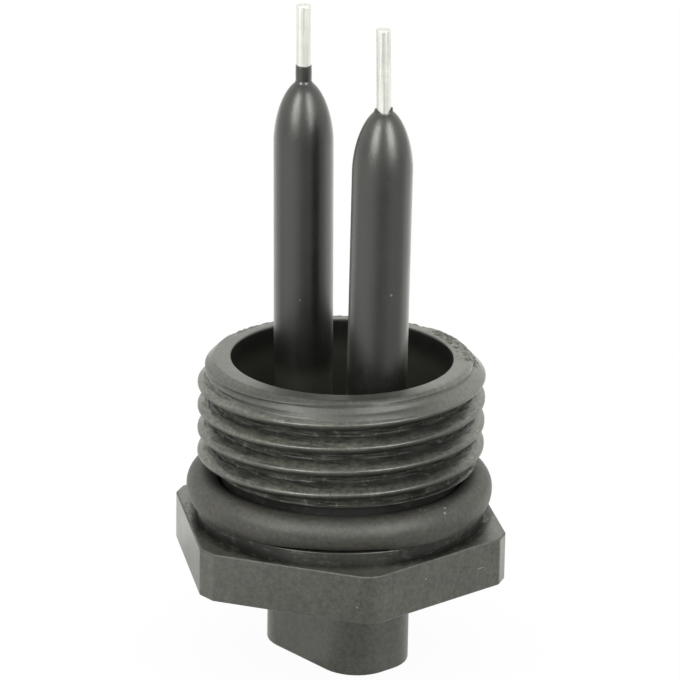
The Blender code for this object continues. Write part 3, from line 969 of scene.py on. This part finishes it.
def moulded_plastic(color, thread):
    """Black glass-filled plastic: dusty satin outside, smoother and blacker on the probes and in the bore,
    with painted shading.
    """
    material, graph = new_material("moulded_plastic")
    place = graph.surface_place()
    x, y, z = graph.parts(place)
    radius = (x * x + y * y) ** 0.5
    inner = graph.fade(radius, 9.2 * MM, 9.35 * MM) * graph.smoothstep(z, 11.8 * MM, 11.95 * MM)
    outer = 1 - inner
    skirt = graph.smoothstep(z, THREAD_BOTTOM - 0.1 * MM, THREAD_BOTTOM + 0.1 * MM)
    neck = graph.smoothstep(z, SEAT_TOP - 0.05 * MM, SEAT_TOP + 0.05 * MM) * (1 - skirt)
    lead_in = graph.smoothstep(z, END_FACE - 1.75 * MM, END_FACE - 1.15 * MM)
    cut = skirt * (1 - lead_in)
    clouds = graph.noise(place, 420, 4.0, 0.6)
    mottle = graph.noise(place, 2400, 3.0, 0.6)
    grain = graph.noise(place, 8000, 2.0, 0.65)
    tint = 1.08 + (clouds - 0.5) * 0.8 + (mottle - 0.5) * 2.0 + (grain - 0.5) * 1.4
    # Painted shade: the neck between the seat and the thread is darkened to a fifth of the tint.
    tint = tint * (1 - neck * 0.8)
    grime_and_shade_tint, grime_and_shade = seat_tint(graph, place, radius, z)
    tint = tint * (skirt + (1 - skirt) * grime_and_shade_tint)
    side = graph.dot(place, across_view())
    front = graph.smoothstep(graph.dot(place, across_view(-math.pi / 2)) / radius, 0.60, 0.95)
    thread_tint, dirt_and_shade_share = thread_tint_and_shade(graph, thread, place, z)
    # Darker on the thread's right side, towards the camera's right, in tint and in matt black.
    darker_right = graph.smoothstep(side / radius, 0.15, 0.45) * graph.fade(side / radius, 0.80, 0.95)
    # Painted shade: the chamfer's side towards the camera is darkened, here in tint and below in matt black.
    tint = tint * (1 - cut + cut * thread_tint * (1 - darker_right * 0.38)) * (1 - lead_in * front * 0.34)
    # Painted shade: a dark line round the chamfer, with a fainter one below it, stands for the shadow in the
    # shallow first groove.
    below_line = lead_in_line(side / (11.0 * MM)) - z
    line = graph.fade(abs(below_line), 0.06 * MM, 0.20 * MM)
    line = line + graph.fade(abs(below_line + 0.33 * MM), 0.04 * MM, 0.16 * MM) * 0.25
    line = line * ((clouds - 0.25) * 2.2) * graph.smoothstep(radius, 10.1 * MM, 10.3 * MM)
    tint = tint * (1 - line * 0.6)
    # Painted highlight: a light line along the lower edge of the thread's skirt.
    skirt_edge_highlight = skirt * graph.fade(z, THREAD_BOTTOM + 0.16 * MM, THREAD_BOTTOM + 0.30 * MM)
    tint = tint + skirt_edge_highlight * graph.smoothstep(radius, 10.5 * MM, 10.6 * MM) * 1.2
    # Painted highlight: a mottled light line along the outer edge of the end face.
    rim_edge_highlight = graph.smoothstep(z, END_FACE - 0.22 * MM, END_FACE - 0.10 * MM)
    rim_edge_highlight = rim_edge_highlight * graph.smoothstep(radius, 10.3 * MM, 10.5 * MM)
    # Painted light: the chamfer is lighter towards the camera's right.
    tint = tint + lead_in * graph.smoothstep(side / radius, 0.3, 0.8) * 0.6
    tint = tint + rim_edge_highlight * (0.2 + (mottle - 0.5) * 1.2)
    # Painted light: deep in the bore, the bore's and probes' colour is lifted to about five times.
    deep_bore_light = graph.fade(z, END_FACE - 3.0 * MM, END_FACE - 1.0 * MM)
    sleek_tint = 0.9 + (clouds - 0.5) * 0.6 + (grain - 0.5) * 0.6 + deep_bore_light * 4.0
    # Painted sheen: the probes above the end face are lightened where they are seen at a grazing angle.
    grazing = graph.add("ShaderNodeLayerWeight", inputs={"Blend": 0.5}, output="Facing")
    standing_out = graph.smoothstep(z, END_FACE - 0.5 * MM, END_FACE + 1.5 * MM)
    sleek_tint = sleek_tint + graph.smoothstep(grazing, 0.50, 0.95) * standing_out * 10.0
    sleek = graph.scale(tuple(channel * 0.22 for channel in color), sleek_tint)
    surface = graph.blend(inner, graph.scale(color, tint.math("MAXIMUM", tint, 0.02)), sleek)
    dust = specks(graph, place, 520.0, 0.035, 0.60) * 0.55 + marks(graph, place, PLASTIC_MARKS) * 0.6
    surface = graph.blend(dust, surface, DUST_COLOR)
    rough = 0.36 + (grain - 0.5) * 0.25 + (clouds - 0.5) * 0.16 - inner * 0.02 + neck * 0.4
    rough = rough + cut * dirt_and_shade_share * outer * 0.5 + lead_in * outer * front * 0.10
    domes = graph.smoothstep(z, 38.0 * MM, 40.0 * MM)
    relief = (grain * 0.7 + mottle * 0.8) * (1 - inner * 0.6 + domes * 1.4) + clouds * 0.8
    bump = graph.bump(0.12, 0.05 * MM, relief)
    top_edge = graph.smoothstep(z, HEX_TOP - 0.20 * MM, HEX_TOP - 0.10 * MM) * (1 - skirt)
    top_edge = top_edge * graph.fade(z, HEX_TOP - 0.03 * MM, HEX_TOP)
    rough = rough + top_edge * 0.30
    # Matt black: grime and painted shade by the seat; painted shade in the grooves, on the chamfer's line and
    # camera side.
    dirt_and_shade = grime_and_shade * (1 - skirt) * 0.62 + cut * (dirt_and_shade_share + darker_right * 0.12)
    dirt_and_shade = (dirt_and_shade + line * 0.35 + lead_in * front * 0.25) * outer
    finish_material(graph, {"IOR": 1.6}, {"Base Color": surface, "Roughness": rough, "Normal": bump}, dirt_and_shade)
    return material


def ring_rubber(color):
    """Matt rubber with a faint bloom, dust grains and painted shade on its inner side."""
    material, graph = new_material("ring_rubber")
    place = graph.surface_place()
    clouds = graph.noise(place, 500, 4.0, 0.6)
    mottle = graph.noise(place, 2200, 3.0, 0.6)
    grain = graph.noise(place, 8000, 2.0, 0.6)
    x, y, z = graph.parts(place)
    radius = (x * x + y * y) ** 0.5
    streaks = graph.streaks(graph.turn(x, y) * (12.0 * MM), radius, z, (260, 1500, 1500))
    tint = 0.76 + (clouds - 0.5) + (mottle - 0.5) * 1.4 + (grain - 0.5) * 1.3 + (streaks - 0.5) * 0.9
    # Painted shade: the ring's inner side, under the thread by the neck, is darkened to about a third.
    tint = tint * (0.3 + 0.7 * graph.smoothstep(radius, 10.9 * MM, 11.6 * MM))
    surface = graph.scale(color, tint.math("MAXIMUM", tint, 0.02))
    dust = specks(graph, place, 620.0, 0.04, 0.60) * 0.5 + marks(graph, place, RING_MARKS) * 0.8
    surface = graph.blend(dust, surface, RING_DUST_COLOR)
    rough = 0.58 + (grain - 0.5) * 0.2 + (clouds - 0.5) * 0.15
    relief = grain * 0.7 + mottle + clouds * 0.6
    bump = graph.bump(0.10, 0.05 * MM, relief)
    finish_material(graph, {"IOR": 1.50}, {"Base Color": surface, "Roughness": rough, "Normal": bump})
    return material


def drawn_metal(name, color, roughness, direction):
    """Metal with fine lines along its drawing direction."""
    material, graph = new_material(name)
    place = graph.surface_place()
    lines = graph.noise(graph.stretch(place, direction), 1.0, 3.0, 0.6)
    clouds = graph.noise(place, 800, 3.0, 0.6)
    tint = 0.80 + (lines - 0.5) * 0.75 + (clouds - 0.5) * 0.20
    surface = graph.scale(color, tint)
    rough = roughness + (lines - 0.5) * 0.25 + (clouds - 0.5) * 0.1
    bump = graph.bump(0.18, 0.02 * MM, lines)
    finish_material(graph, {"Metallic": 1.0}, {"Base Color": surface, "Roughness": rough, "Normal": bump})
    return material


def white_table(color):
    """A pale table, white to the camera and in reflections, where it is dimmer on the camera's side."""
    material, graph = new_material("white_table")
    place = graph.surface_place()
    outwards = graph.add("ShaderNodeVectorMath", {"operation": "NORMALIZE"}, {0: place})
    forwards = graph.dot(outwards, across_view(-math.pi / 2))
    dim = graph.smoothstep(forwards, 0.72, 0.97) * 0.36 * graph.ray("Glossy")
    matt = graph.add("ShaderNodeBsdfDiffuse", inputs={"Color": (*color, 1.0)})
    white = graph.blend(graph.ray("Glossy"), (1.0, 1.0, 1.0), LAMP_COLOR)
    glow = graph.add("ShaderNodeEmission", inputs={"Color": white, "Strength": 1.04 * (1 - dim)})
    mixed = graph.add("ShaderNodeMixShader", inputs={0: graph.directly_seen() * 0.92, 1: matt, 2: glow})
    graph.add("ShaderNodeOutputMaterial", inputs={"Surface": mixed})
    return material


class SENSOR_OT_housing(bpy.types.Operator):
    """Builds the one-piece moulding with its thread, probes and socket."""

    bl_idname = "sensor.housing"
    bl_label = "Build housing"

    def execute(self, context):
        finishes, thread = context.scene.sensor_finishes, context.scene.sensor_thread
        material = moulded_plastic(tuple(finishes.plastic), thread)
        base = moulding_base()
        skirt = threaded_skirt(thread, material)
        wear_rim(skirt)
        stitch(base, skirt)
        base.name = "housing_moulding"
        shade(base, material)
        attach(base, "root")
        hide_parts("housing")
        return {"FINISHED"}


class SENSOR_OT_sealing_ring(bpy.types.Operator):
    """Builds the rubber ring round the neck."""

    bl_idname = "sensor.sealing_ring"
    bl_label = "Build sealing ring"

    def execute(self, context):
        low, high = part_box("o_ring")
        section = (high.z - low.z) / 2
        middle = (high.z + low.z) / 2
        reach = high.x - section - RING_PLAY
        profile = [(reach + r, middle + z) for r, z in arc((0.0, 0.0), section, 0, 360, 40)[:-1]]
        off_centre = across_view() * -RING_PLAY
        ring = spin("sealing_ring", [*profile, profile[0]], 256, (off_centre.x, off_centre.y))
        sag_ring(ring, middle, section)
        face_outwards(ring)
        shade(ring, ring_rubber(tuple(context.scene.sensor_finishes.rubber)), 60)
        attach(ring, "root")
        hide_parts("o_ring")
        return {"FINISHED"}


class SENSOR_OT_electrodes(bpy.types.Operator):
    """Builds the two bare electrodes."""

    bl_idname = "sensor.electrodes"
    bl_label = "Build electrodes"

    def execute(self, context):
        steel = tuple(context.scene.sensor_finishes.steel)
        material = drawn_metal("drawn_steel", steel, 0.50, (5200.0, 5200.0, 90.0))
        for side in SIDES:
            low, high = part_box(f"electrode_{side}")
            soft = 0.1 * MM
            bottom, top = low.z, high.z
            profile = [(0.0, bottom), (ELECTRODE_RADIUS - soft, bottom), (ELECTRODE_RADIUS, bottom + soft)]
            shank = [(ELECTRODE_RADIUS, bottom + 2 * soft), (ELECTRODE_RADIUS, top - 2 * soft)]
            profile += ruled(shank, 1.5 * MM)
            profile += arc((ELECTRODE_RADIUS - soft, top - soft), soft, 0, 90, 4)
            profile += [(ELECTRODE_RADIUS * 0.5, top), (0.0, top)]
            rod = spin(f"electrode_rod_{side}", profile, 48, probe_centre(side))
            face_outwards(rod)
            lean(rod, side)
            shade(rod, material)
            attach(rod, "root")
            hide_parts(f"electrode_{side}")
        return {"FINISHED"}


class SENSOR_OT_terminals(bpy.types.Operator):
    """Builds the plug's two contact tabs."""

    bl_idname = "sensor.terminals"
    bl_label = "Build contact tabs"

    def execute(self, context):
        tin = tuple(context.scene.sensor_finishes.tin)
        material = drawn_metal("tinned_brass", tin, 0.36, (900.0, 5000.0, 160.0))
        for side in SIDES:
            strip = tab(f"contact_tab_{side}", side)
            soften = strip.modifiers.new("soften", "BEVEL")
            soften.width = 0.06 * MM
            soften.segments = 2
            soften.limit_method = "ANGLE"
            baked(strip)
            shade(strip, material)
            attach(strip, "root")
            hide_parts(f"terminal_{side}")
        return {"FINISHED"}


def add_lamp(name, width, depth, radiance, only_mirrored):
    """A rectangular lamp of an even radiance, where 1 is white."""
    lamp = bpy.data.lights.new(name, "AREA")
    lamp.shape = "RECTANGLE"
    lamp.size = width
    lamp.size_y = depth
    lamp.energy = radiance * math.pi * width * depth
    lamp.color = LAMP_COLOR
    obj = link_object(name, lamp)
    obj.visible_diffuse = not only_mirrored
    obj.visible_camera = False
    return obj


def direction_to(turn, rise):
    """Unit vector at a turn round the axis and a rise above the table, in radians."""
    return Vector((math.cos(turn) * math.cos(rise), math.sin(turn) * math.cos(rise), math.sin(rise)))


def add_softbox(name, angle, elevation, distance, width, height, radiance, only_mirrored=True):
    """A softbox aimed at the sensor's middle, at an angle in plan from the camera's own."""
    lamp = add_lamp(name, width, height, radiance, only_mirrored)
    direction = direction_to(VIEW_ANGLE + math.radians(angle), math.radians(elevation))
    lamp.location = direction * distance + Vector((0.0, 0.0, 0.03))
    lamp.rotation_euler = direction.to_track_quat("Z", "Y").to_euler()


def add_card(name, left, right, far, near, radiance):
    """A pale card that lies on the table between those limits and shows in glossy surfaces."""
    card = add_lamp(name, right - left, near - far, radiance, True)
    across = across_view() * (left + right) / 2
    forwards = across_view(-math.pi / 2) * (far + near) / 2
    card.location = across + forwards + Vector((0.0, 0.0, 0.0005))
    card.rotation_euler = (math.pi, 0.0, VIEW_ANGLE + math.pi / 2)


def photo_camera():
    """A long lens at the photograph's place."""
    elevation = math.radians(20.001)
    roll = math.radians(0.9991)
    distance = 374.98 * MM
    focal_pixels = 4535.7
    middle = (341.664, 379.317)
    target = Vector((0.0, 0.0, 24.0 * MM))
    back = direction_to(VIEW_ANGLE, elevation)
    right = across_view()
    up = back.cross(right)
    rolled_right = math.cos(roll) * right + math.sin(roll) * up
    rolled_up = -math.sin(roll) * right + math.cos(roll) * up
    camera = bpy.data.cameras.new("camera")
    camera.sensor_width = 36.0
    camera.lens = focal_pixels / 680 * 36.0
    camera.shift_x = (340 - middle[0]) / 680
    camera.shift_y = (middle[1] - 340) / 680
    camera.clip_start = 0.01
    camera.clip_end = 20.0
    obj = link_object("camera", camera)
    axes = Matrix((rolled_right, rolled_up, back)).transposed()
    obj.matrix_world = Matrix.Translation(target + back * distance) @ axes.to_4x4()
    bpy.context.scene.camera = obj


def soft_world():
    """Even white light, and plain white behind the object and in reflections."""
    world = bpy.data.worlds.new("soft_world")
    world.use_nodes = True
    world.node_tree.nodes.clear()
    graph = Graph(world.node_tree)
    strength = DIFFUSE_WORLD + graph.directly_seen() * (1 - DIFFUSE_WORLD)
    warm = graph.blend(1 - graph.ray("Camera"), (1.0, 1.0, 1.0), LAMP_COLOR)
    light = graph.add("ShaderNodeBackground", inputs={"Color": warm, "Strength": strength})
    graph.add("ShaderNodeOutputWorld", inputs={"Surface": light})
    bpy.context.scene.world = world


class SENSOR_OT_stage(bpy.types.Operator):
    """Builds the table, the light and the camera."""

    bl_idname = "sensor.stage"
    bl_label = "Build stage"

    def execute(self, context):
        half = 2.0
        corners = [(-half, -half, 0.0), (half, -half, 0.0), (half, half, 0.0), (-half, half, 0.0)]
        table = add_mesh("table", corners, [[0, 1, 2, 3]])
        table.data.materials.append(white_table(tuple(context.scene.sensor_finishes.floor)))
        for name, *placing in SOFTBOXES:
            add_softbox(name, *placing)
        for name, *placing in CARDS:
            add_card(name, *placing)
        soft_world()
        photo_camera()
        context.scene.view_settings.view_transform = "Standard"
        return {"FINISHED"}


class SENSOR_PT_panel(bpy.types.Panel):
    """Lists the sensor's sizes, colours and building steps."""

    bl_label = "Sensor"
    bl_idname = "SENSOR_PT_panel"
    bl_space_type = "VIEW_3D"
    bl_region_type = "UI"
    bl_category = "Sensor"

    def draw(self, context):
        layout = self.layout
        for group in (context.scene.sensor_thread, context.scene.sensor_finishes):
            for name in group.__annotations__:
                layout.prop(group, name)
        for operator in OPERATORS:
            layout.operator(operator.bl_idname)


OPERATORS = (
    SENSOR_OT_housing,
    SENSOR_OT_sealing_ring,
    SENSOR_OT_electrodes,
    SENSOR_OT_terminals,
    SENSOR_OT_stage,
)
CLASSES = (ThreadSizes, Finishes, *OPERATORS, SENSOR_PT_panel)


def register():
    for item in CLASSES:
        bpy.utils.register_class(item)
    bpy.types.Scene.sensor_thread = bpy.props.PointerProperty(type=ThreadSizes)
    bpy.types.Scene.sensor_finishes = bpy.props.PointerProperty(type=Finishes)


def unregister():
    del bpy.types.Scene.sensor_finishes
    del bpy.types.Scene.sensor_thread
    for item in reversed(CLASSES):
        bpy.utils.unregister_class(item)


def main():
    register()
    bpy.ops.sensor.housing()
    bpy.ops.sensor.sealing_ring()
    bpy.ops.sensor.electrodes()
    bpy.ops.sensor.terminals()
    bpy.ops.sensor.stage()


if __name__ == "__main__":
    main()
